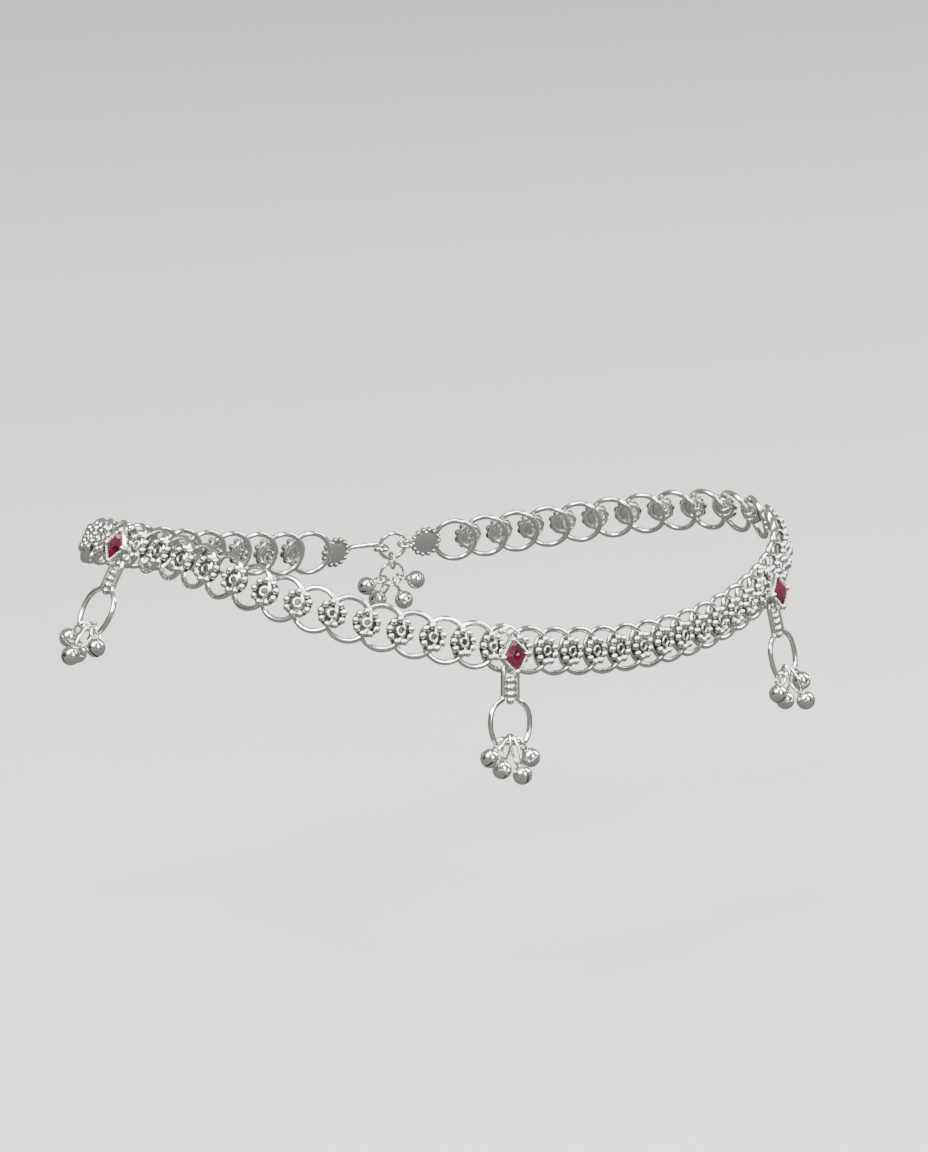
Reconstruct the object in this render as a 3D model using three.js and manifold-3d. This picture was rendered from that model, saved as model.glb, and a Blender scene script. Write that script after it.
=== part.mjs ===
// Payal anklet: a band of overlapping wire hoops pinned under granulated rosettes, three raised
// stone settings with keyhole drops and ball bells, and a hook closure behind the ankle.
// Frame: origin in the middle of the ankle opening, +X to the heel, -X to the toes,
// -Y to the inner side of the ankle, +Z up. Millimetres.

import * as THREE from 'three';
import { mergeVertices } from 'three/addons/utils/BufferGeometryUtils.js';
import Module from 'manifold-3d';

const wasm = await Module();
wasm.setup();

// The worn loop: an oval, wider at the toes, that dips at both sides of the ankle.
const loopHalfLength = 52.6;
const loopHalfWidth = 32.8;
const heelTaper = 0.15;
const toeSquareness = 0.08;
const sideDip = 9.2;
const heelDrop = THREE.MathUtils.degToRad(6.6);
const sideFlare = THREE.MathUtils.degToRad(9);
const toeFlare = THREE.MathUtils.degToRad(30);
const heelFlare = THREE.MathUtils.degToRad(17);

// The band
const linkCount = 62;
const firstStation = 0.477;
const stationLinks = [0, 13, 26];
const hoopRadius = 2.9;
const hoopWire = 0.38;
const hoopTilt = THREE.MathUtils.degToRad(13.5);
const rosetteRadius = 2.05;
const rosetteFloor = 0.2;
const rosetteCrown = 1.55;
const rosetteTop = 1.45;
const rosetteDimple = 0.4;
const pinRadius = 1.1;
const pinReach = 0.9;

// Runs of hoops joined in one solid, as [first hoop, last hoop]
const strandRuns = [
  [1, 4], [5, 8], [9, 12],
  [14, 17], [18, 21], [22, 25],
  [27, 30], [31, 34], [35, 38], [39, 41],
  [48, 50], [51, 53], [54, 57], [58, 61],
];
const eyeEndLink = 42;
const hookEndLink = 47;

// Setting and stone
const settingHalfWidth = 2.3;
const settingHalfHeight = 2.6;
const settingDrop = 1;
const settingBase = 1.9;
const settingTop = 2.85;
const settingRim = 0.3;
const settingFloor = settingBase + 0.35;
const stoneGap = 0.3;
const stoneGirdle = [2.8, 2.95];
const stoneTable = 0.55;
const stoneTop = 3.3;
const legWire = 0.2;
const legInset = 0.25;
const legBite = 0.15;

// Drop frame, measured from the middle of the band
const frameWire = 0.7;
const frameDepth = 1.15;
const neckRadius = 1.15;
const neckHalfWidth = 1.15;
const pegHeight = -3.25;
const neckFoot = -6.7;
const archTop = -7.2;
const ovalMiddle = -9.7;
const ovalHalfWidth = 3.15;
const ovalFoot = -11.5;
const barHeight = -12.4;
const barHalfWidth = 2.3;
const barBow = 0.1;
const neckBead = 0.95;
const neckBeadHeights = [-4.8, -5.9];

// Ball bells on their wire loops
const bellRadius = 1.3;
const loopWire = 0.19;
const loopClearance = 0.97;

// Closure
const plateRadius = 2.3;
const plateOffset = 4.15;
const plateProfile = [[0, 0.1], [2.1, 0.1], [plateRadius, 0.5], [1.6, 1.3], [0, 1.6]];
const hookPlateHeight = -0.7;
const eyeRadius = 0.95;
const eyeWire = 0.25;
const eyeReach = 0.7;
const closingRingRadius = 1.9;
const closingRingWire = 0.3;
const closureHeight = 0.6;
const hookRadius = 1.05;
const hookWire = 0.35;
const hookBite = 0.8;
const hookTurns = [80, 130, 180, 230, 280, 330];
const chainRingRadius = 1.1;
const bellRingRadius = 1.7;
const chainRingWire = 0.2;
const chainSlack = 0.2;
const bellRingSlack = 0.3;

const silver = new THREE.MeshStandardMaterial({ color: 0xd9d6cf, roughness: 0.28, metalness: 1 });
const ruby = new THREE.MeshStandardMaterial({ color: 0x5a1226, roughness: 0.12, metalness: 0 });

const xAxis = new THREE.Vector3(1, 0, 0);
const yAxis = new THREE.Vector3(0, 1, 0);
const zAxis = new THREE.Vector3(0, 0, 1);

class WornLoop extends THREE.Curve {
  getPoint(t, target = new THREE.Vector3()) {
    const c = Math.cos(2 * Math.PI * t);
    const s = Math.sin(2 * Math.PI * t);
    const square = c < 0 ? 1 + toeSquareness * (2 * s * c) ** 2 : 1;
    const x = loopHalfLength * c * square;
    const y = loopHalfWidth * s * (1 - heelTaper * c) * square;
    return target.set(x, y, -sideDip * s * s).applyAxisAngle(yAxis, heelDrop);
  }
}

const loop = new WornLoop();
loop.arcLengthDivisions = 2000;
const pitch = loop.getLength() / linkCount;

// Where a link sits: x along the band, y up across it, z out of its face.
function linkAxes(link) {
  const fraction = (firstStation + link / linkCount) % 1;
  const c = Math.cos(2 * Math.PI * loop.getUtoTmapping(fraction));
  const along = loop.getTangentAt(fraction);
  const outward = along.clone().cross(zAxis).normalize();
  const flare = sideFlare + ((c < 0 ? toeFlare : heelFlare) - sideFlare) * c * c;
  const rise = zAxis.clone().multiplyScalar(Math.cos(flare)).addScaledVector(outward, -Math.sin(flare));
  return { centre: loop.getPointAt(fraction), along, outward, rise };
}

function linkFrame(link) {
  const { centre, along, rise } = linkAxes(link);
  const up = rise.clone().addScaledVector(along, -rise.dot(along)).normalize();
  const face = along.clone().cross(up);
  return new THREE.Matrix4().makeBasis(along, up, face).setPosition(centre);
}

// A setting and its drop stand upright on the slope of the ankle, whatever way the band runs.
function stationFrame({ link, turn }) {
  const { centre, outward, rise } = linkAxes(link);
  const side = zAxis.clone().cross(outward);
  const straight = new THREE.Matrix4().makeBasis(side, rise, side.clone().cross(rise));
  return straight.setPosition(centre).multiply(new THREE.Matrix4().makeRotationY(turn));
}

function toSolid(geometry, matrix) {
  const bare = geometry.clone();
  if (matrix) bare.applyMatrix4(matrix);
  bare.deleteAttribute('normal');
  bare.deleteAttribute('uv');
  const merged = mergeVertices(bare, 1e-5);
  const mesh = new wasm.Mesh({
    numProp: 3,
    vertProperties: new Float32Array(merged.attributes.position.array),
    triVerts: new Uint32Array(merged.index.array),
  });
  mesh.merge();
  return new wasm.Manifold(mesh);
}

function toGeometry(solid) {
  const mesh = solid.getMesh();
  const geometry = new THREE.BufferGeometry();
  geometry.setAttribute('position', new THREE.BufferAttribute(mesh.vertProperties, mesh.numProp));
  geometry.setIndex(new THREE.BufferAttribute(mesh.triVerts, 1));
  geometry.computeVertexNormals();
  return geometry;
}

function soldered(pieces) {
  const solids = pieces.map(([geometry, matrix]) => toSolid(geometry, matrix));
  return toGeometry(solids.reduce((whole, solid) => whole.add(solid)));
}

function at(x, y, z) {
  return new THREE.Matrix4().makeTranslation(x, y, z);
}

function ring(radius, wire, sides = 3, steps = 10) {
  return new THREE.TorusGeometry(radius, wire, sides, steps);
}

// A profile of [radius, height] pairs turned round the z axis
function turned(profile, sides) {
  const points = profile.map(([radius, height]) => new THREE.Vector2(radius, height));
  return new THREE.LatheGeometry(points, sides).rotateX(Math.PI / 2);
}

function bead(radius) {
  return new THREE.IcosahedronGeometry(radius, 0);
}

function wireAlong(curve, radius, steps, sides = 6) {
  const section = new THREE.Shape();
  section.absarc(0, 0, radius, 0, 2 * Math.PI);
  const settings = { steps, curveSegments: sides, extrudePath: curve, bevelEnabled: false };
  return new THREE.ExtrudeGeometry(section, settings);
}

function addMesh(parent, name, geometry, material = silver) {
  const mesh = new THREE.Mesh(geometry, material);
  mesh.name = name;
  parent.add(mesh);
  return mesh;
}

function placedGroup(parent, matrix) {
  const group = new THREE.Group();
  matrix.decompose(group.position, group.quaternion, group.scale);
  parent.add(group);
  return group;
}

function hoop() {
  return ring(hoopRadius, hoopWire).rotateY(-hoopTilt);
}

// A rosette over two hoops: pinned reaches through to the hoop behind, and unpinned stops short.
function rosette(pinned) {
  const foot = pinned ? [[0, -pinReach], [pinRadius, -pinReach]] : [[0, rosetteFloor]];
  const crown = [
    [rosetteRadius, rosetteFloor], [rosetteCrown, rosetteTop], [0, rosetteTop - rosetteDimple],
  ];
  return turned([...foot, ...crown], 6);
}

function buildStrand(parent, name, first, last) {
  const middle = linkFrame((first + last) / 2);
  const toLocal = middle.clone().invert();
  const pieces = [];
  for (let link = first; link <= last; link++) {
    pieces.push([hoop(), toLocal.clone().multiply(linkFrame(link))]);
    pieces.push([rosette(link < last), toLocal.clone().multiply(linkFrame(link + 0.5))]);
  }
  addMesh(placedGroup(parent, middle), name, soldered(pieces));
}

function rod(start, end, radius) {
  return wireAlong(new THREE.LineCurve3(start, end), radius, 1, 5);
}

// The rhombus cup with its two legs down to the top and the bottom of its own hoop
function settingGeometry(station) {
  const toStation = stationFrame(station).invert();
  const own = toStation.clone().multiply(linkFrame(station.link));
  const beside = toStation.clone().multiply(linkFrame(station.link + 0.5));
  const inner = 1 - settingRim / settingHalfWidth;
  const profile = [
    [0, settingBase], [1, settingBase], [1, settingTop],
    [inner, settingTop], [inner, settingFloor], [0, settingFloor],
  ];
  const cup = turned(profile, 4).scale(settingHalfWidth, settingHalfHeight, 1);
  const pieces = [[cup, at(0, -settingDrop, 0)], [hoop(), own], [rosette(false), beside]];
  for (const end of [-1, 1]) {
    const foot = new THREE.Vector3(0, end * hoopRadius, 0).applyMatrix4(own);
    const headHeight = end * (settingHalfHeight - legInset) - settingDrop;
    const head = new THREE.Vector3(0, headHeight, settingBase + legBite);
    pieces.push([rod(foot, head, legWire)]);
  }
  return soldered(pieces);
}

function stoneGeometry() {
  const girdle = settingHalfWidth - settingRim - stoneGap;
  const seat = settingFloor + stoneGap;
  const profile = [
    [0, seat], [stoneTable, seat], ...stoneGirdle.map((height) => [1, height]),
    [stoneTable, stoneTop], [0, stoneTop],
  ];
  const scaled = turned(profile, 4);
  return scaled.scale(girdle, girdle * settingHalfHeight / settingHalfWidth, 1);
}

// Half of the keyhole's middle line, from the top of its neck to the middle of its bar,
// as [curve, steps]
const neckTop = new THREE.Vector2(0, pegHeight + neckRadius);
const neckBend = new THREE.Vector2(neckHalfWidth - 0.05, pegHeight - 1);
const neckShoulder = new THREE.Vector2(neckHalfWidth, neckFoot);
const ovalSide = new THREE.Vector2(ovalHalfWidth, ovalMiddle);
const barCorner = new THREE.Vector2(barHalfWidth, barHeight);
const barMiddle = new THREE.Vector2(0, barHeight - barBow);
const keyholeHalf = [
  [new THREE.CubicBezierCurve(
    neckTop, new THREE.Vector2(neckRadius, neckTop.y),
    new THREE.Vector2(neckRadius, pegHeight), neckBend), 4],
  [new THREE.LineCurve(neckBend, neckShoulder), 1],
  [new THREE.CubicBezierCurve(
    neckShoulder, new THREE.Vector2(neckHalfWidth + 0.1, archTop + 0.1),
    new THREE.Vector2(ovalHalfWidth, archTop), ovalSide), 5],
  [new THREE.QuadraticBezierCurve(ovalSide, new THREE.Vector2(ovalHalfWidth, ovalFoot), barCorner), 2],
  [new THREE.QuadraticBezierCurve(barCorner, new THREE.Vector2(barHalfWidth / 2, barMiddle.y), barMiddle), 2],
];

// The keyhole's outline, moved out or in from its middle line by an offset
function keyholeOutline(offset) {
  const half = [];
  for (const [curve, steps] of keyholeHalf) {
    for (let step = 0; step < steps; step++) {
      const point = curve.getPoint(step / steps);
      const run = curve.getTangent(step / steps);
      half.push(new THREE.Vector2(point.x - run.y * offset, point.y + run.x * offset));
    }
  }
  half[0].x = 0;
  const mirrored = half.slice(1).reverse().map((point) => new THREE.Vector2(-point.x, point.y));
  return [...half, new THREE.Vector2(0, barMiddle.y - offset), ...mirrored].reverse();
}

function dropFrameGeometry() {
  const outline = new THREE.Shape(keyholeOutline(frameWire / 2));
  outline.holes.push(new THREE.Path(keyholeOutline(-frameWire / 2)));
  const plate = new THREE.ExtrudeGeometry(outline, { depth: frameWire, bevelEnabled: false });
  const pieces = [[plate, at(0, 0, frameDepth - frameWire / 2)]];
  for (const height of neckBeadHeights) {
    pieces.push([bead(neckBead), at(0, height, frameDepth)]);
  }
  return soldered(pieces);
}

// A ball bell that hangs along -y, with its loop round the wire at the origin
function bellGeometry(reach) {
  const foot = -(reach - bellRadius + 0.05);
  const halfHeight = (loopClearance - foot) / 2;
  const wireLoop = ring(1, loopWire / loopClearance, 3, 9).rotateY(Math.PI / 2);
  wireLoop.scale(loopClearance, halfHeight, loopClearance);
  const ball = new THREE.IcosahedronGeometry(bellRadius, 1);
  return soldered([[wireLoop, at(0, loopClearance - halfHeight, 0)], [ball, at(0, -reach, 0)]]);
}

// Hangs a bell from a point on a wire towards the place of its middle.
function hangBell(parent, name, wirePoint, middle) {
  const down = middle.clone().sub(wirePoint);
  const reach = down.length();
  const up = down.clone().normalize().negate();
  const side = up.clone().cross(zAxis).normalize();
  const frame = new THREE.Matrix4().makeBasis(side, up, side.clone().cross(up)).setPosition(wirePoint);
  addMesh(placedGroup(parent, frame), name, bellGeometry(reach));
}

// Four bells under a drop frame's bar: x on the bar, then the middle of the ball
const bunch = [
  { suffix: 'a', onBar: -1.45, x: -3.3, y: -2.1, z: 0.1 },
  { suffix: 'b', onBar: -0.45, x: -0.95, y: -3.6, z: -0.5 },
  { suffix: 'c', onBar: 0.45, x: 0.85, y: -4.3, z: 1.6 },
  { suffix: 'd', onBar: 1.45, x: 3.2, y: -2.05, z: 0.1 },
];

// Each setting's turn on the slope, and its drop's swing about the peg, in radians
const stations = [
  { number: 1, link: stationLinks[0], turn: 0, swing: 0 },
  { number: 2, link: stationLinks[1], turn: 0, swing: -0.15 },
  { number: 3, link: stationLinks[2], turn: -0.2, swing: 0 },
];

function buildStation(parent, station) {
  const { number, swing } = station;
  const upright = placedGroup(parent, stationFrame(station));
  addMesh(upright, `setting_${number}`, settingGeometry(station));
  addMesh(upright, `stone_${number}`, stoneGeometry(), ruby).position.set(0, -settingDrop, 0);
  const swung = at(0, pegHeight, 0).multiply(new THREE.Matrix4().makeRotationZ(swing));
  const drop = placedGroup(upright, swung.multiply(at(0, -pegHeight, 0)));
  addMesh(drop, `drop_frame_${number}`, dropFrameGeometry());
  for (const bell of bunch) {
    const wirePoint = new THREE.Vector3(bell.onBar, barHeight, frameDepth);
    const middle = new THREE.Vector3(bell.x, barHeight + bell.y, frameDepth + bell.z);
    hangBell(drop, `bell_${number}${bell.suffix}`, wirePoint, middle);
  }
}

// Four bells round the lower half of the last chain ring
const closureBunch = [
  { suffix: 'a', turn: -160, reach: 2.2, z: 0 },
  { suffix: 'b', turn: -114, reach: 2.6, z: -0.6 },
  { suffix: 'c', turn: -66, reach: 2.6, z: 0.6 },
  { suffix: 'd', turn: -20, reach: 2.2, z: 0 },
];

function endPlate() {
  return turned(plateProfile, 10);
}

function buildClosure(parent) {
  const eyeEnd = linkFrame(eyeEndLink);
  const hookEnd = linkFrame(hookEndLink);
  const eyeMiddle = plateOffset + plateRadius + eyeReach;
  const ringMiddle = eyeMiddle + closingRingRadius;

  const eye = ring(eyeRadius, eyeWire, 5, 10).rotateX(Math.PI / 2);
  const eyePieces = [
    [hoop()], [endPlate(), at(plateOffset, 0, 0)], [eye, at(eyeMiddle, 0, closureHeight)],
  ];
  addMesh(placedGroup(parent, eyeEnd), 'end_plate', soldered(eyePieces));

  const ringGroup = placedGroup(parent, eyeEnd.clone().multiply(at(ringMiddle, 0, closureHeight)));
  addMesh(ringGroup, 'closing_ring', ring(closingRingRadius, closingRingWire, 5, 14));

  const caught = new THREE.Vector3(eyeMiddle + 2 * closingRingRadius, 0, closureHeight);
  caught.applyMatrix4(eyeEnd).applyMatrix4(hookEnd.clone().invert());
  const shank = new THREE.Vector3(-plateOffset - plateRadius + hookBite, 0, 0);
  const bend = new THREE.Vector3((shank.x + caught.x + hookRadius) / 2, 0, caught.z + hookRadius);
  const route = [shank, bend];
  for (const turn of hookTurns) {
    const angle = THREE.MathUtils.degToRad(turn);
    const x = caught.x + hookRadius * Math.cos(angle);
    route.push(new THREE.Vector3(x, caught.y, caught.z + hookRadius * Math.sin(angle)));
  }
  const hookPieces = [
    [hoop()],
    [rosette(false), hookEnd.clone().invert().multiply(linkFrame(hookEndLink + 0.5))],
    [endPlate(), at(-plateOffset, 0, hookPlateHeight)],
    [wireAlong(new THREE.CatmullRomCurve3(route), hookWire, 16)],
  ];
  addMesh(placedGroup(parent, hookEnd), 'hook_plate', soldered(hookPieces));

  const chainStep = chainRingRadius + bellRingRadius - 2 * chainRingWire - bellRingSlack;
  const upperChain = chainSlack + closingRingWire + chainRingWire - closingRingRadius - chainRingRadius;
  const lowerChain = upperChain - chainStep;
  const upperRing = addMesh(ringGroup, 'chain_ring_1', ring(chainRingRadius, chainRingWire, 4, 10));
  upperRing.position.set(0, upperChain, 0);
  upperRing.rotation.y = Math.PI / 2;
  const lowerRing = addMesh(ringGroup, 'chain_ring_2', ring(bellRingRadius, chainRingWire, 4, 12));
  lowerRing.position.set(0, lowerChain, 0);

  for (const { suffix, turn, reach, z } of closureBunch) {
    const direction = xAxis.clone().applyAxisAngle(zAxis, THREE.MathUtils.degToRad(turn));
    const wirePoint = direction.clone().multiplyScalar(bellRingRadius);
    wirePoint.y += lowerChain;
    const middle = wirePoint.clone().addScaledVector(direction, reach);
    middle.z = z;
    hangBell(ringGroup, `bell_4${suffix}`, wirePoint, middle);
  }
}

const anklet = new THREE.Group();
strandRuns.forEach(([first, last], index) => {
  buildStrand(anklet, `strand_${String(index + 1).padStart(2, '0')}`, first, last);
});
stations.forEach((station) => buildStation(anklet, station));
buildClosure(anklet);

export default anklet;
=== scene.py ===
import bisect
import math

import bpy
from mathutils import Matrix, Vector


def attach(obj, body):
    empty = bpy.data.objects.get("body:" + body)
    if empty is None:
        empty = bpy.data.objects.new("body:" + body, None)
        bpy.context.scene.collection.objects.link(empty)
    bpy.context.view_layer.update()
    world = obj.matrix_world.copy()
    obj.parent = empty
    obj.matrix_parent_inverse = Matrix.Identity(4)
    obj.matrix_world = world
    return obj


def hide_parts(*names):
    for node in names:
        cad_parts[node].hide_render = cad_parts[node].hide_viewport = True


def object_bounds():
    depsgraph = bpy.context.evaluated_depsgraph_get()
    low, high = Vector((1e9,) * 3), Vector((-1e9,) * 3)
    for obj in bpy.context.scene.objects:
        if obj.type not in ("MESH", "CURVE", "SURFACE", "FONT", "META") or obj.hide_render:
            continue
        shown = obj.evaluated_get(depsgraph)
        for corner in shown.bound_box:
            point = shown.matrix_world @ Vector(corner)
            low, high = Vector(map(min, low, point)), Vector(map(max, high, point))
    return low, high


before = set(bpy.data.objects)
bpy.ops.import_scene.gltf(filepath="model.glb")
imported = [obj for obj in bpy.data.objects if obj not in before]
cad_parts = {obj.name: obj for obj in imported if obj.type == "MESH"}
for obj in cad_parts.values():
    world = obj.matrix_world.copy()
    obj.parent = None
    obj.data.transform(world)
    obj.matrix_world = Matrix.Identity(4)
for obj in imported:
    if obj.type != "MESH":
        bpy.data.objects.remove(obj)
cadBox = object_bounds()
print("frame loaded:", len(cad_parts), "nodes")

toMetres = Matrix.Scale(0.001, 4)  # pieces are modelled in millimetres, then placed in metres
upright = Vector((0, 0, 1))


loopShape = {
    "halfLength": 52.6,
    "halfWidth": 32.8,
    "heelTaper": 0.15,
    "toeSquareness": 0.08,
    "sideDip": 9.2,
    "heelDrop": math.radians(6.6),
    "sideFlare": math.radians(9),
    "toeFlare": math.radians(30),
    "heelFlare": math.radians(17),
    "links": 62,
    "firstStation": 0.477,
    "samples": 4000,
}


def loopPoint(angle):
    c, s = math.cos(angle), math.sin(angle)
    square = 1 + loopShape["toeSquareness"] * (2 * s * c) ** 2 if c < 0 else 1
    x = loopShape["halfLength"] * c * square
    y = loopShape["halfWidth"] * s * (1 - loopShape["heelTaper"] * c) * square
    return Matrix.Rotation(loopShape["heelDrop"], 3, "Y") @ Vector((x, y, -loopShape["sideDip"] * s * s))


def measureLoop():
    lengths = [0.0]
    last = loopPoint(0)
    for step in range(1, loopShape["samples"] + 1):
        point = loopPoint(2 * math.pi * step / loopShape["samples"])
        lengths.append(lengths[-1] + (point - last).length)
        last = point
    return lengths


loopLengths = measureLoop()
pitch = loopLengths[-1] / loopShape["links"]


def linkAxes(link):
    share = (loopShape["firstStation"] + link / loopShape["links"]) % 1
    target = share * loopLengths[-1]
    step = max(bisect.bisect_left(loopLengths, target), 1)
    part = (target - loopLengths[step - 1]) / (loopLengths[step] - loopLengths[step - 1])
    angle = 2 * math.pi * (step - 1 + part) / loopShape["samples"]
    nudge = 1e-4
    along = (loopPoint(angle + nudge) - loopPoint(angle - nudge)).normalized()
    outward = along.cross(upright).normalized()
    c = math.cos(angle)
    endFlare = loopShape["toeFlare"] if c < 0 else loopShape["heelFlare"]
    flare = loopShape["sideFlare"] + (endFlare - loopShape["sideFlare"]) * c * c
    rise = upright * math.cos(flare) - outward * math.sin(flare)
    return loopPoint(angle), along, outward, rise


def axesMatrix(x, y, z, place):
    turn = Matrix((x, y, z)).transposed().to_4x4()
    return Matrix.Translation(place) @ turn


def linkFrame(link):
    centre, along, _, rise = linkAxes(link)
    up = (rise - along * rise.dot(along)).normalized()
    return axesMatrix(along, up, along.cross(up), centre)


stations = {  # the link each setting stands on, its turn on the slope and its drop's swing
    1: {"link": 0, "turn": 0.0, "swing": 0.0},
    2: {"link": 13, "turn": 0.0, "swing": -0.15},
    3: {"link": 26, "turn": -0.2, "swing": 0.0},
}


def stationFrame(station):
    centre, _, outward, rise = linkAxes(station["link"])
    side = upright.cross(outward)
    return axesMatrix(side, rise, side.cross(rise), centre) @ Matrix.Rotation(station["turn"], 4, "Y")


def at(x, y, z):
    return Matrix.Translation((x, y, z))


class Signal:  # a socket that takes part in arithmetic
    def __init__(self, shader, socket):
        self.shader = shader
        self.socket = socket

    def maths(self, operation, first, second):
        return self.shader.node("ShaderNodeMath", {"operation": operation}, [first, second])

    def __add__(self, other):
        return self.maths("ADD", self, other)

    def __radd__(self, other):
        return self.maths("ADD", other, self)

    def __sub__(self, other):
        return self.maths("SUBTRACT", self, other)

    def __rsub__(self, other):
        return self.maths("SUBTRACT", other, self)

    def __mul__(self, other):
        return self.maths("MULTIPLY", self, other)

    def __rmul__(self, other):
        return self.maths("MULTIPLY", other, self)


class Shader:
    def __init__(self, name):
        self.material = bpy.data.materials.new(name)
        self.material.use_nodes = True
        self.tree = self.material.node_tree
        self.surface = self.tree.nodes["Principled BSDF"]

    def connect(self, socket, value):
        if isinstance(value, Signal):
            self.tree.links.new(value.socket, socket)
        else:
            socket.default_value = value

    def node(self, kind, settings, sockets, output=0):
        made = self.tree.nodes.new(kind)
        for key, value in settings.items():
            if key == "stops":
                for element, (place, colour) in zip(made.color_ramp.elements, value):
                    element.position = place
                    element.color = colour
            else:
                setattr(made, key, value)
        pairs = sockets.items() if isinstance(sockets, dict) else enumerate(sockets)
        for key, value in pairs:
            self.connect(made.inputs[key], value)
        return Signal(self, made.outputs[output])

    def mixColour(self, factor, first, second):
        settings = {"data_type": "RGBA"}
        return self.node("ShaderNodeMix", settings, {0: factor, 6: first, 7: second}, 2)

    def noise(self, scale, detail=3.0):
        place = self.node("ShaderNodeTexCoord", {}, [], "Object")
        return self.node("ShaderNodeTexNoise", {}, {"Vector": place, "Scale": scale, "Detail": detail}, "Fac")

    def finish(self, sockets):
        for key, value in sockets.items():
            self.connect(self.surface.inputs[key], value)
        return self.material


silverLook = {
    "bright": (0.93, 0.925, 0.90, 1),
    "worn": (0.78, 0.765, 0.73, 1),
    "oxideAndPaintedShade": (0.060, 0.055, 0.050, 1),
    "polish": 0.14,
    "dull": 0.42,
    "tarnishScale": 420.0,
    "grainScale": 5200.0,
    "bump": 0.10,
}


def makeSilver():
    shader = Shader("oxidised silver with painted shade")
    paintedLightAndOxide = shader.node("ShaderNodeAttribute", {"attribute_name": "paintedLightAndOxide"}, [], "Fac")
    cloud = shader.noise(silverLook["tarnishScale"])
    grain = shader.noise(silverLook["grainScale"], 2.0)
    # painted light and shade: the dark colour is oxide in the hollows and painted shade, and the vertex values paint
    # the tops of wires lighter and their undersides and crevices darker
    exposedAndPaintedLight = shader.node(
        "ShaderNodeMapRange", {"interpolation_type": "SMOOTHSTEP"},
        {"Value": paintedLightAndOxide + (cloud - 0.5) * 0.35, "From Min": 0.08, "From Max": 0.55})
    metal = shader.mixColour(cloud, silverLook["worn"], silverLook["bright"])
    colour = shader.mixColour(exposedAndPaintedLight, silverLook["oxideAndPaintedShade"], metal)
    rough = silverLook["dull"] - exposedAndPaintedLight * (silverLook["dull"] - silverLook["polish"]) + (grain - 0.5) * 0.10
    bump = shader.node("ShaderNodeBump", {}, {"Height": grain, "Strength": silverLook["bump"], "Distance": 0.00005})
    return shader.finish({"Base Color": colour, "Roughness": rough, "Metallic": 1.0, "Normal": bump})


stoneLook = {
    "deep": (0.022, 0.001, 0.005, 1),
    "wine": (0.095, 0.004, 0.018, 1),
    "paintedGlint": (0.50, 0.11, 0.18, 1),
    "cellScale": 1100.0,
}


def makeStone():
    shader = Shader("dark red stone")
    place = shader.node("ShaderNodeTexCoord", {}, [], "Object")
    settings = {"feature": "F1", "distance": "MANHATTAN"}
    cells = shader.node("ShaderNodeTexVoronoi", settings, {"Vector": place, "Scale": stoneLook["cellScale"]}, "Color")
    shade = shader.node("ShaderNodeSeparateColor", {}, [cells], "Red")
    body = shader.mixColour(shade, stoneLook["deep"], stoneLook["wine"])
    # painted reflections: the cells spread the colour from deep to wine as painted internal reflection, and the
    # brightest cells get a painted pink glint
    paintedSparkle = shader.node("ShaderNodeMapRange", {}, {"Value": shade, "From Min": 0.80, "From Max": 0.97})
    colour = shader.mixColour(paintedSparkle * 0.7, body, stoneLook["paintedGlint"])
    cloud = shader.noise(900.0)
    return shader.finish({
        "Base Color": colour, "Roughness": 0.05 + cloud * 0.06, "IOR": 1.76,
        "Coat Weight": 0.3, "Coat Roughness": 0.02, "Specular IOR Level": 0.6,
    })


silver = makeSilver()
ruby = makeStone()
print("materials made")


def deselect():
    if bpy.context.mode != "OBJECT":
        bpy.ops.object.mode_set(mode="OBJECT")
    bpy.ops.object.select_all(action="DESELECT")


def only(piece):
    deselect()
    piece.select_set(True)
    bpy.context.view_layer.objects.active = piece
    return piece


def justAdded(name):
    piece = bpy.context.view_layer.objects.active
    piece.name = name
    return piece


# stores per-vertex painted light and oxide: high values show bright metal, low values paint shade and oxide
def setPaintedLightAndOxide(piece, rule):
    layer = piece.data.attributes.get("paintedLightAndOxide") or piece.data.attributes.new("paintedLightAndOxide", "FLOAT", "POINT")
    for vertex in piece.data.vertices:
        layer.data[vertex.index].value = rule(vertex.co)
    return piece


def smooth(piece, angle=40):
    only(piece)
    bpy.ops.object.shade_smooth_by_angle(angle=math.radians(angle))
    return piece


def wireRing(name, radius, wire, around=28, section=8):
    deselect()
    bpy.ops.mesh.primitive_torus_add(
        major_radius=radius, minor_radius=wire, major_segments=around, minor_segments=section)
    return justAdded(name)


# painted highlight on its crown, its back bright too, and painted shade with oxide in the crevice round its foot
def granule(name, radius, segments=8, rings=6):
    deselect()
    bpy.ops.mesh.primitive_uv_sphere_add(segments=segments, ring_count=rings, radius=radius)
    ball = justAdded(name)
    bpy.ops.object.shade_smooth()
    return setPaintedLightAndOxide(ball, lambda place: 0.55 if place.z < -0.6 * radius else max(0.1, 0.42 + 0.7 * place.z / radius))


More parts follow.
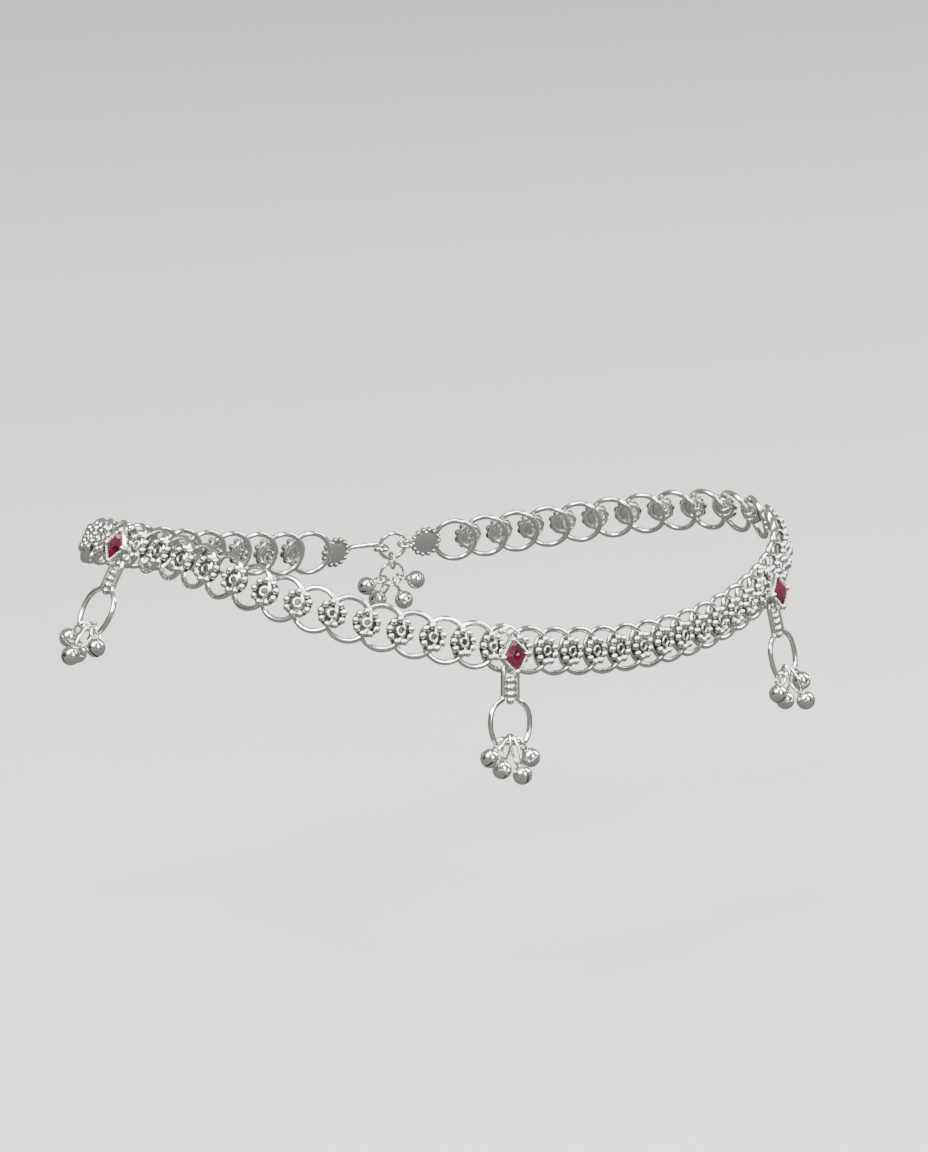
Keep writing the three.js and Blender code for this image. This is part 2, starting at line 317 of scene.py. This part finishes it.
# a round wire through points, from a circle of vertices moved onto them
def wireAlong(name, points, wire, closed=False, section=2):
    deselect()
    bpy.ops.mesh.primitive_circle_add(vertices=len(points), radius=1)
    path = justAdded(name)
    for vertex, point in zip(path.data.vertices, points):
        vertex.co = point
    if not closed:
        bpy.ops.object.mode_set(mode="EDIT")
        bpy.ops.mesh.select_all(action="DESELECT")
        bpy.ops.object.mode_set(mode="OBJECT")
        lastEdge = next(e for e in path.data.edges if set(e.vertices) == {0, len(points) - 1})
        lastEdge.select = True
        bpy.ops.object.mode_set(mode="EDIT")
        bpy.ops.mesh.delete(type="EDGE_FACE")
        bpy.ops.object.mode_set(mode="OBJECT")
    only(path)
    bpy.ops.object.convert(target="CURVE")
    path.data.bevel_depth = wire
    path.data.bevel_resolution = section
    path.data.use_fill_caps = True
    bpy.ops.object.convert(target="MESH")
    path = bpy.context.view_layer.objects.active
    bpy.ops.object.shade_smooth()
    return setPaintedLightAndOxide(path, lambda place: 0.8)


def removeMasters(masters):
    for piece in masters:
        bpy.data.objects.remove(piece)


# joins copies of master pieces, each given as (master, matrix), into one mesh
def assemble(name, parts):
    copies = []
    for master, matrix in parts:
        copy = bpy.data.objects.new(name, master.data.copy())
        copy.data.transform(matrix)
        bpy.context.scene.collection.objects.link(copy)
        copies.append(copy)
    deselect()
    for copy in copies:
        copy.select_set(True)
    bpy.context.view_layer.objects.active = copies[0]
    if len(copies) > 1:
        bpy.ops.object.join()
    joined = bpy.context.view_layer.objects.active
    joined.name = name
    return joined


# puts a copy of a millimetre master in the frame, in place of its CAD node
def place(master, name, matrix, node, slot="silver"):
    piece = assemble(name, [(master, toMetres @ matrix)])
    piece.data.materials.clear()
    piece.data.materials.append(ruby if slot == "stone" else silver)
    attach(piece, "root")
    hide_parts(node)
    return piece


band = {
    "hoopRadius": 2.9,
    "wire": 0.38,
    "tilt": math.radians(13.5),
    "granules": 9,
    "granuleRadius": 0.52,
    "granuleRing": 1.53,
    "granuleHeight": 0.98,
    "seatHeight": 0.52,
    "middleHeight": 0.72,
    "eyeletHeight": 1.18,
    "tieRadius": 0.56,
    "tieWire": 0.13,
}

strandRuns = [
    (1, 4), (5, 8), (9, 12),
    (14, 17), (18, 21), (22, 25),
    (27, 30), (31, 34), (35, 38), (39, 41),
    (48, 50), (51, 53), (54, 57), (58, 61),
]


def makeHoop():
    hoop = wireRing("hoop", band["hoopRadius"], band["wire"], 30, 8)
    # painted light: the hoop's top is painted lighter and its underside darker
    setPaintedLightAndOxide(hoop, lambda place: 0.75 + 0.25 * place.z / band["wire"])
    return smooth(hoop, 80)


def makeRosette():
    seat = smooth(wireRing("seat", band["granuleRing"] - 0.1, 0.42, 20, 6), 80)
    seat.data.transform(at(0, 0, band["seatHeight"]) @ Matrix.Diagonal((1, 1, 0.7, 1)))
    # painted shade and oxide on the seat's top, in the crevice under the granules
    setPaintedLightAndOxide(seat, lambda place: 0.55 if place.z < band["seatHeight"] - 0.1 else 0.1)
    eyelet = smooth(wireRing("eyelet", 0.55, 0.17, 14, 6), 80)
    eyelet.data.transform(at(0, 0, band["eyeletHeight"]))
    # painted light on the eyelet's top, painted shade on its underside
    setPaintedLightAndOxide(eyelet, lambda place: 0.9 if place.z > band["eyeletHeight"] else 0.3)
    middle = granule("middle", 1.3, 12, 6)
    middle.data.transform(at(0, 0, band["middleHeight"]) @ Matrix.Diagonal((1, 1, 0.35, 1)))
    # painted shade and oxide in the rosette's recessed centre
    setPaintedLightAndOxide(middle, lambda place: 0.12 if place.z > band["middleHeight"] - 0.1 else 0.5)
    ball = granule("granule", band["granuleRadius"])
    tie = smooth(wireRing("tie", band["tieRadius"], band["tieWire"], 14, 6), 80)
    tie.data.transform(Matrix.Rotation(math.pi / 2, 4, "X"))
    setPaintedLightAndOxide(tie, lambda place: 0.5)
    parts = [(seat, Matrix()), (middle, Matrix()), (eyelet, Matrix())]
    for number in range(band["granules"]):
        turn = 2 * math.pi * (number + 0.5) / band["granules"]
        x, y = band["granuleRing"] * math.cos(turn), band["granuleRing"] * math.sin(turn)
        parts.append((ball, at(x, y, band["granuleHeight"])))
    ties = [(tie, at(-0.62, side * 0.42, -0.18)) for side in (-1, 1)]
    pinned = assemble("pinnedRosette", parts + ties)
    plain = assemble("plainRosette", parts)
    removeMasters([seat, eyelet, middle, ball, tie])
    return pinned, plain


def hoopTurn():
    return Matrix.Rotation(-band["tilt"], 4, "Y")


hoopMaster = makeHoop()
pinnedRosette, plainRosette = makeRosette()

for number, (first, last) in enumerate(strandRuns, 1):
    parts = []
    for link in range(first, last + 1):
        parts.append((hoopMaster, linkFrame(link) @ hoopTurn()))
        parts.append((pinnedRosette, linkFrame(link + 0.5)))
    strand = assemble("strand", parts)
    place(strand, f"link_strand_{number:02d}", Matrix(), f"strand_{number:02d}")
    removeMasters([strand])
print("band made")


setting = {
    "halfWidth": 2.3,
    "halfHeight": 2.6,
    "base": 1.9,
    "top": 2.85,
    "rim": 0.42,
    "drop": 1.0,
    "grainRadius": 0.21,
    "grainsPerSide": 8,
    "claw": 0.36,
    "legWire": 0.2,
}


def rhombusPrism(name, halfWidth, halfHeight, low, high):
    deselect()
    bpy.ops.mesh.primitive_cylinder_add(vertices=4, radius=1, depth=high - low)
    prism = justAdded(name)
    prism.data.transform(at(0, 0, (low + high) / 2) @ Matrix.Diagonal((halfWidth, halfHeight, 1, 1)))
    return prism


def selectTop(piece, height):
    bpy.ops.object.mode_set(mode="OBJECT")
    for face in piece.data.polygons:
        face.select = face.normal.z > 0.9 and abs(face.center.z - height) < 1e-3
    for edge in piece.data.edges:
        edge.select = False
    for vertex in piece.data.vertices:
        vertex.select = False
    for face in piece.data.polygons:
        if face.select:
            for index in face.vertices:
                piece.data.vertices[index].select = True
    bpy.ops.object.mode_set(mode="EDIT")


def makeCup():
    cup = rhombusPrism("cup", setting["halfWidth"], setting["halfHeight"], setting["base"], setting["top"])
    only(cup)
    bpy.ops.object.mode_set(mode="EDIT")
    bpy.ops.mesh.select_mode(type="FACE")
    selectTop(cup, setting["top"])
    bpy.ops.mesh.inset(thickness=setting["rim"] * 0.75)
    bpy.ops.mesh.extrude_region_move(TRANSFORM_OT_translate={"value": (0, 0, -0.5)})
    bpy.ops.object.mode_set(mode="OBJECT")
    bevel = cup.modifiers.new("edges", "BEVEL")
    bevel.width = 0.09
    bevel.segments = 2
    bpy.ops.object.modifier_apply(modifier=bevel.name)
    # painted light on the cup's top rim, painted shade and oxide down its sides
    setPaintedLightAndOxide(cup, lambda place: 0.75 if place.z > setting["top"] - 0.2 else 0.35)
    return smooth(cup, 30)


def rhombusRim(halfWidth, halfHeight, perSide):
    corners = [Vector((halfWidth, 0, 0)), Vector((0, halfHeight, 0)), Vector((-halfWidth, 0, 0)), Vector((0, -halfHeight, 0))]
    for side in range(4):
        for step in range(perSide):
            yield corners[side].lerp(corners[(side + 1) % 4], step / perSide)


def makeSetting(station):
    toStation = stationFrame(station).inverted()
    own = toStation @ linkFrame(station["link"])
    cup = makeCup()
    grain = granule("grain", setting["grainRadius"], 6, 4)
    claw = granule("claw", setting["claw"], 12, 8)
    lower = at(0, -setting["drop"], 0)
    parts = [
        (cup, lower),
        (hoopMaster, own @ hoopTurn()),
        (plainRosette, toStation @ linkFrame(station["link"] + 0.5)),
    ]
    for spot in rhombusRim(setting["halfWidth"] - 0.15, setting["halfHeight"] - 0.17, setting["grainsPerSide"]):
        parts.append((grain, lower @ Matrix.Translation(spot) @ at(0, 0, setting["top"] - 0.02)))
    for spot in rhombusRim(setting["halfWidth"] - 0.42, setting["halfHeight"] - 0.48, 1):
        parts.append((claw, lower @ Matrix.Translation(spot) @ at(0, 0, setting["top"] + 0.05)))
    legs = []
    for end in (-1, 1):
        foot = own @ Vector((0, end * band["hoopRadius"], 0))
        head = Vector((0, end * (setting["halfHeight"] - 0.25) - setting["drop"], setting["base"] + 0.15))
        legs.append(wireAlong("leg", [foot, foot.lerp(head, 0.5), head], setting["legWire"]))
    parts += [(leg, Matrix()) for leg in legs]
    crownBead = granule("crownBead", 0.5)
    for x, y, z in ((0, 2.55, 0.55), (-0.72, 2.2, 0.62), (0.72, 2.2, 0.62), (0, 1.95, 1.35)):
        parts.append((crownBead, own @ at(x, y, z)))
    whole = assemble("setting", parts)
    removeMasters([cup, grain, claw, crownBead] + legs)
    return whole


stone = {"halfWidth": 1.86, "halfHeight": 2.10, "seat": 2.57, "girdle": 2.92, "crown": 3.15, "table": 3.28}


def makeStoneShape():
    gem = rhombusPrism("gem", stone["halfWidth"], stone["halfHeight"], stone["seat"], stone["girdle"])
    only(gem)
    bpy.ops.object.mode_set(mode="EDIT")
    bpy.ops.mesh.select_mode(type="FACE")
    selectTop(gem, stone["girdle"])
    bpy.ops.mesh.extrude_region_move(TRANSFORM_OT_translate={"value": (0, 0, stone["crown"] - stone["girdle"])})
    bpy.ops.transform.resize(value=(0.72, 0.72, 1), center_override=(0, 0, stone["crown"]))
    bpy.ops.mesh.extrude_region_move(TRANSFORM_OT_translate={"value": (0, 0, stone["table"] - stone["crown"])})
    bpy.ops.transform.resize(value=(0.55, 0.55, 1), center_override=(0, 0, stone["table"]))
    bpy.ops.object.mode_set(mode="OBJECT")
    bevel = gem.modifiers.new("facets", "BEVEL")
    bevel.width = 0.10
    bevel.segments = 1
    bpy.ops.object.modifier_apply(modifier=bevel.name)
    return gem


gemMaster = makeStoneShape()
for number, station in stations.items():
    whole = makeSetting(station)
    base = stationFrame(station)
    place(whole, f"bezel_{number}", base, f"setting_{number}")
    removeMasters([whole])
    place(gemMaster, f"gem_{number}", base @ at(0, -setting["drop"], 0), f"stone_{number}", "stone")
removeMasters([gemMaster])
print("settings made")


drop = {
    "wire": 0.37,
    "depth": 1.15,
    "neckRadius": 1.15,
    "neckHalfWidth": 1.15,
    "peg": -3.25,
    "neckFoot": -6.7,
    "archTop": -7.2,
    "ovalMiddle": -9.7,
    "ovalFoot": -11.5,
    "ovalHalfWidth": 3.15,
    "bar": -12.4,
    "barHalfWidth": 2.3,
    "barBow": 0.1,
    "neckBeads": ((-4.35, 0.62), (-5.25, 0.66), (-6.15, 0.66), (-6.95, 0.55)),
    "barBeads": (-1.6, -0.8, 0.0, 0.8, 1.6),
    "barBead": 0.42,
}


# points on a Bezier curve, without its last one
def bezier(controls, steps):
    points = []
    for step in range(steps):
        row = [Vector(control) for control in controls]
        while len(row) > 1:
            row = [a.lerp(b, step / steps) for a, b in zip(row, row[1:])]
        points.append(row[0])
    return points


def keyholeLine():
    neckTop = drop["peg"] + drop["neckRadius"]
    bend = (drop["neckHalfWidth"] - 0.05, drop["peg"] - 1)
    shoulder = (drop["neckHalfWidth"], drop["neckFoot"])
    side = (drop["ovalHalfWidth"], drop["ovalMiddle"])
    corner = (drop["barHalfWidth"], drop["bar"])
    middle = (0, drop["bar"] - drop["barBow"])
    half = bezier([(0, neckTop), (drop["neckRadius"], neckTop), (drop["neckRadius"], drop["peg"]), bend], 8)
    half += bezier([bend, shoulder], 4)
    arch = [(shoulder[0] + 0.1, drop["archTop"] + 0.1), (side[0], drop["archTop"])]
    half += bezier([shoulder, *arch, side], 10)
    half += bezier([side, (side[0], drop["ovalFoot"]), corner], 7)
    half += bezier([corner, (corner[0] / 2, middle[1]), middle], 4)
    points = half + [Vector(middle)] + [Vector((-p.x, p.y)) for p in reversed(half[1:])]
    return [Vector((p.x, p.y, drop["depth"])) for p in points]


def makeDropFrame():
    line = keyholeLine()
    outer = wireAlong("keyhole", line, drop["wire"], closed=True)
    bead = granule("bead", 1.0, 12, 8)
    parts = [(outer, Matrix())]
    for height, radius in drop["neckBeads"]:
        parts.append((bead, at(0, height, drop["depth"]) @ Matrix.Scale(radius, 4)))
    for x in drop["barBeads"]:
        parts.append((bead, at(x, drop["bar"] + 0.28, drop["depth"]) @ Matrix.Scale(drop["barBead"], 4)))
    whole = assemble("dropFrame", parts)
    removeMasters([outer, bead])
    return whole


bell = {
    "radius": 1.3,
    "loopWire": 0.18,
    "clearance": 0.80,
    "slit": 0.2,
    "bunch": {
        "a": (-1.45, (-3.3, -2.1, 0.1)),
        "b": (-0.45, (-0.95, -3.6, -0.5)),
        "c": (0.45, (0.85, -4.3, 1.6)),
        "d": (1.45, (3.2, -2.05, 0.1)),
    },
}


# a ball bell that hangs along -y: a seam round its middle and a slit across its foot
def makeBall():
    deselect()
    bpy.ops.mesh.primitive_uv_sphere_add(segments=24, ring_count=14, radius=bell["radius"])
    ball = justAdded("ball")
    bpy.ops.object.mode_set(mode="EDIT")
    bpy.ops.mesh.select_mode(type="FACE")
    bpy.ops.mesh.select_all(action="SELECT")
    for side in (-1, 1):
        bpy.ops.mesh.select_all(action="SELECT")
        bpy.ops.mesh.bisect(plane_co=(side * bell["slit"] / 2, 0, 0), plane_no=(1, 0, 0))
    bpy.ops.object.mode_set(mode="OBJECT")
    for vertex in ball.data.vertices:
        vertex.select = False
    for edge in ball.data.edges:
        edge.select = False
    for face in ball.data.polygons:
        face.select = abs(face.center.x) < bell["slit"] / 2 and face.center.z < -0.35 * bell["radius"]
    bpy.ops.object.mode_set(mode="EDIT")
    bpy.ops.mesh.extrude_region_move(TRANSFORM_OT_translate={"value": (0, 0, 0.45)})
    bpy.ops.object.mode_set(mode="OBJECT")
    inside = 0.97 * bell["radius"]
    # painted shade: the walls inside the slit are painted black
    setPaintedLightAndOxide(ball, lambda place: 0.85 if place.length > inside else 0.0)
    smooth(ball, 35)
    seam = smooth(wireRing("seam", bell["radius"] - 0.02, 0.06, 24, 6), 80)
    setPaintedLightAndOxide(seam, lambda place: 0.5)
    collar = smooth(wireRing("collar", 0.34, 0.12, 12, 6), 80)
    setPaintedLightAndOxide(collar, lambda place: 0.5)
    whole = assemble("ballBell", [(ball, Matrix()), (seam, Matrix()), (collar, at(0, 0, bell["radius"] - 0.03))])
    whole.data.transform(Matrix.Rotation(-math.pi / 2, 4, "X"))
    removeMasters([ball, seam, collar])
    return whole


ballMaster = makeBall()
loopMaster = smooth(wireRing("bellLoop", 1, bell["loopWire"] / bell["clearance"], 18, 6), 80)
loopMaster.data.transform(Matrix.Rotation(math.pi / 2, 4, "Y"))
setPaintedLightAndOxide(loopMaster, lambda place: 0.75)


def hangBell(base, name, node, wirePoint, middle):
    down = middle - wirePoint
    reach = down.length
    up = -down.normalized()
    side = up.cross(upright).normalized()
    frameHere = axesMatrix(side, up, side.cross(up), wirePoint)
    foot = -(reach - bell["radius"] + 0.05)
    halfHeight = (bell["clearance"] - foot) / 2
    stretch = Matrix.Diagonal((bell["clearance"], halfHeight, bell["clearance"], 1))
    parts = [
        (ballMaster, at(0, -reach, 0)),
        (loopMaster, at(0, bell["clearance"] - halfHeight, 0) @ stretch),
    ]
    whole = assemble("bell", parts)
    place(whole, name, base @ frameHere, node)
    removeMasters([whole])


frameMaster = makeDropFrame()
for number, station in stations.items():
    swing = at(0, drop["peg"], 0) @ Matrix.Rotation(station["swing"], 4, "Z") @ at(0, -drop["peg"], 0)
    base = stationFrame(station) @ swing
    place(frameMaster, f"keyhole_{number}", base, f"drop_frame_{number}")
    for letter, (onBar, offset) in bell["bunch"].items():
        wirePoint = Vector((onBar, drop["bar"], drop["depth"]))
        middle = Vector(offset) + Vector((0, drop["bar"], drop["depth"]))
        hangBell(base, f"ball_bell_{number}{letter}", f"bell_{number}{letter}", wirePoint, middle)
removeMasters([frameMaster])
print("drops made")


closure = {
    "eyeLink": 42,
    "hookLink": 47,
    "plateRadius": 2.3,
    "plateOffset": 4.15,
    "eyeRadius": 0.95,
    "eyeWire": 0.25,
    "ringRadius": 1.9,
    "ringWire": 0.29,
    "height": 0.6,
    "hookRadius": 1.05,
    "hookWire": 0.34,
    "chainRadius": 1.1,
    "bellRingRadius": 1.7,
    "chainWire": 0.2,
    "bunch": {"a": (-160, 2.2, 0), "b": (-114, 2.6, -0.6), "c": (-66, 2.6, 0.6), "d": (-20, 2.2, 0)},
}


# a domed end plate with a ring of granules round its edge
def makePlate():
    deselect()
    bpy.ops.mesh.primitive_uv_sphere_add(segments=24, ring_count=12, radius=1.75)
    dome = justAdded("dome")
    for vertex in dome.data.vertices:
        if vertex.co.z < -0.01:
            vertex.co.z *= 0.22  # its back is a shallow dish
    dome.data.transform(at(0, 0, 0.35) @ Matrix.Diagonal((1, 1, 0.68, 1)))
    # painted light: the dome's crown is painted lighter, with painted shade and oxide low round the bead ring
    setPaintedLightAndOxide(dome, lambda place: 0.6 if place.z < 0.4 else place.z - 0.3)
    smooth(dome, 40)
    bead = granule("plateBead", 0.42)
    parts = [(dome, Matrix())]
    beads = 14
    for number in range(beads):
        turn = 2 * math.pi * number / beads
        parts.append((bead, at(1.86 * math.cos(turn), 1.86 * math.sin(turn), 0.5)))
    whole = assemble("plate", parts)
    removeMasters([dome, bead])
    return whole


def makeEyeEnd(plate):
    eye = smooth(wireRing("eye", closure["eyeRadius"], closure["eyeWire"], 18, 8), 80)
    eye.data.transform(Matrix.Rotation(math.pi / 2, 4, "X"))
    setPaintedLightAndOxide(eye, lambda place: 0.8)
    eyeMiddle = closure["plateOffset"] + closure["plateRadius"] + 0.7
    parts = [
        (hoopMaster, hoopTurn()),
        (plate, at(closure["plateOffset"], 0, 0)),
        (eye, at(eyeMiddle, 0, closure["height"])),
    ]
    whole = assemble("eyeEnd", parts)
    removeMasters([eye])
    return whole, eyeMiddle


def makeHookEnd(plate, caught):
    shankX = -closure["plateOffset"] - closure["plateRadius"] + 0.8
    radius = closure["hookRadius"]
    route = [Vector((shankX, 0, 0)), Vector(((shankX + caught.x) / 2 + 0.6, 0, caught.z + radius))]
    for turn in range(80, 331, 25):
        angle = math.radians(turn)
        route.append(caught + Vector((radius * math.cos(angle), 0, radius * math.sin(angle))))
    hook = wireAlong("hook", route, closure["hookWire"], section=3)
    tip = granule("hookTip", closure["hookWire"] * 1.3)
    parts = [
        (hoopMaster, hoopTurn()),
        (plainRosette, linkFrame(closure["hookLink"]).inverted() @ linkFrame(closure["hookLink"] + 0.5)),
        (plate, at(-closure["plateOffset"], 0, -0.7)),
        (hook, Matrix()),
        (tip, Matrix.Translation(route[-1])),
    ]
    whole = assemble("hookEnd", parts)
    removeMasters([hook, tip])
    return whole


def makeClosure():
    plate = makePlate()
    eyeFrame = linkFrame(closure["eyeLink"])
    hookFrame = linkFrame(closure["hookLink"])
    eyeEnd, eyeMiddle = makeEyeEnd(plate)
    place(eyeEnd, "eye_end", eyeFrame, "end_plate")
    ringFrame = eyeFrame @ at(eyeMiddle + closure["ringRadius"], 0, closure["height"])
    caught = hookFrame.inverted() @ ringFrame @ Vector((closure["ringRadius"], 0, 0))
    hookEnd = makeHookEnd(plate, caught)
    place(hookEnd, "hook_end", hookFrame, "hook_plate")
    rings = []
    for name, radius, wire in (
        ("closingRing", closure["ringRadius"], closure["ringWire"]),
        ("chainRing", closure["chainRadius"], closure["chainWire"]),
        ("bellRing", closure["bellRingRadius"], closure["chainWire"]),
    ):
        ring = smooth(wireRing(name, radius, wire, 26, 8), 80)
        rings.append(setPaintedLightAndOxide(ring, lambda place: 0.8))
    closingRing, chainRing, bellRing = rings
    place(closingRing, "closing_wire_ring", ringFrame, "closing_ring")
    upper = -closure["ringRadius"] - closure["chainRadius"] + closure["ringWire"] + 0.01 + closure["chainWire"] + 0.2
    lower = upper - (closure["chainRadius"] + closure["bellRingRadius"] - 2 * closure["chainWire"] - 0.3)
    place(chainRing, "chain_link_1", ringFrame @ at(0, upper, 0) @ Matrix.Rotation(math.pi / 2, 4, "Y"), "chain_ring_1")
    place(bellRing, "chain_link_2", ringFrame @ at(0, lower, 0), "chain_ring_2")
    for letter, (turn, reach, z) in closure["bunch"].items():
        direction = Vector((math.cos(math.radians(turn)), math.sin(math.radians(turn)), 0))
        wirePoint = direction * closure["bellRingRadius"] + Vector((0, lower, 0))
        middle = wirePoint + direction * reach
        middle.z = z
        hangBell(ringFrame, f"ball_bell_4{letter}", f"bell_4{letter}", wirePoint, middle)
    removeMasters([plate, eyeEnd, hookEnd] + rings)


makeClosure()
removeMasters([hoopMaster, pinnedRosette, plainRosette, ballMaster, loopMaster])
print("closure made")


stage = {
    "floorDrop": 0.030,
    "floorColour": (0.53, 0.515, 0.49, 1),
    "worldColour": (0.86, 0.85, 0.83, 1),
    "azimuth": math.radians(-40.5),
    "elevation": math.radians(14.8),
    "distance": 1.2,
    "frameWidth": 0.126,
    "sensor": 36.0,
    "aim": (0.0, 0.0, -0.006),
}


def makeFloor():
    deselect()
    bpy.ops.mesh.primitive_plane_add(size=8, location=(0, 0, cadBox[0][2] - stage["floorDrop"]))
    floor = justAdded("floor")
    shader = Shader("pale floor")
    cloud = shader.noise(6.0)
    darker = tuple(0.97 * value for value in stage["floorColour"][:3]) + (1,)
    colour = shader.mixColour(cloud, darker, stage["floorColour"])
    floor.data.materials.append(shader.finish({"Base Color": colour, "Roughness": 0.85}))


def areaLight(name, azimuth, elevation, distance, size, power):
    deselect()
    a, e = math.radians(azimuth), math.radians(elevation)
    place = Vector((math.sin(a) * math.cos(e), -math.cos(a) * math.cos(e), math.sin(e))) * distance
    bpy.ops.object.light_add(type="AREA", location=place)
    light = justAdded(name)
    light.data.shape = "RECTANGLE"
    light.data.size, light.data.size_y = size
    light.data.energy = power
    light.rotation_euler = (-place).to_track_quat("-Z", "Y").to_euler()


def darkCard(name, azimuth, elevation, distance, size):
    a, e = math.radians(azimuth), math.radians(elevation)
    place = Vector((math.sin(a) * math.cos(e), -math.cos(a) * math.cos(e), math.sin(e))) * distance
    deselect()
    bpy.ops.mesh.primitive_plane_add(size=1, location=place, rotation=(-place).to_track_quat("Z", "Y").to_euler())
    card = justAdded(name)
    card.scale = (size[0], size[1], 1)
    shader = Shader(name)
    card.data.materials.append(shader.finish({"Base Color": (0.01, 0.01, 0.01, 1), "Roughness": 1.0}))
    card.visible_camera = False
    card.visible_shadow = False
    card.visible_diffuse = False


# seen by reflections alone: the dark ground that gives polished wire its shaded side
def darkFloor():
    deselect()
    ground = cadBox[0][2] - stage["floorDrop"] + 0.002
    bpy.ops.mesh.primitive_plane_add(size=1.6, location=(0, 0, ground))
    card = justAdded("darkGround")
    shader = Shader("dark ground")
    card.data.materials.append(shader.finish({"Base Color": (0.05, 0.05, 0.05, 1), "Roughness": 1.0}))
    card.visible_camera = False
    card.visible_shadow = False
    card.visible_diffuse = False


def makeCamera():
    a, e = stage["azimuth"], stage["elevation"]
    away = Vector((math.sin(a) * math.cos(e), -math.cos(a) * math.cos(e), math.sin(e)))
    aim = Vector(stage["aim"])
    deselect()
    bpy.ops.object.camera_add(location=aim + away * stage["distance"])
    camera = justAdded("camera")
    camera.rotation_euler = (-away).to_track_quat("-Z", "Y").to_euler()
    camera.data.sensor_fit = "HORIZONTAL"
    camera.data.sensor_width = stage["sensor"]
    camera.data.lens = stage["sensor"] * stage["distance"] / stage["frameWidth"]
    camera.data.clip_start = 0.01
    bpy.context.scene.camera = camera


makeFloor()
world = bpy.data.worlds.new("studio")
world.use_nodes = True
world.node_tree.nodes["Background"].inputs["Color"].default_value = stage["worldColour"]
world.node_tree.nodes["Background"].inputs["Strength"].default_value = 0.42
bpy.context.scene.world = world
areaLight("key", -80, 48, 0.9, (0.40, 0.40), 20)
areaLight("fill", -5, 30, 1.0, (0.24, 0.50), 9)
areaLight("rim", 70, 38, 0.9, (0.22, 0.60), 12)
areaLight("top", -30, 78, 0.9, (0.45, 0.25), 9)
darkFloor()
darkCard("darkLeft", -115, 10, 0.7, (0.45, 0.40))
darkCard("darkFront", -35, 3, 0.7, (0.16, 0.08))
darkCard("darkRight", 25, 12, 0.7, (0.22, 0.40))
makeCamera()

print("stage made")
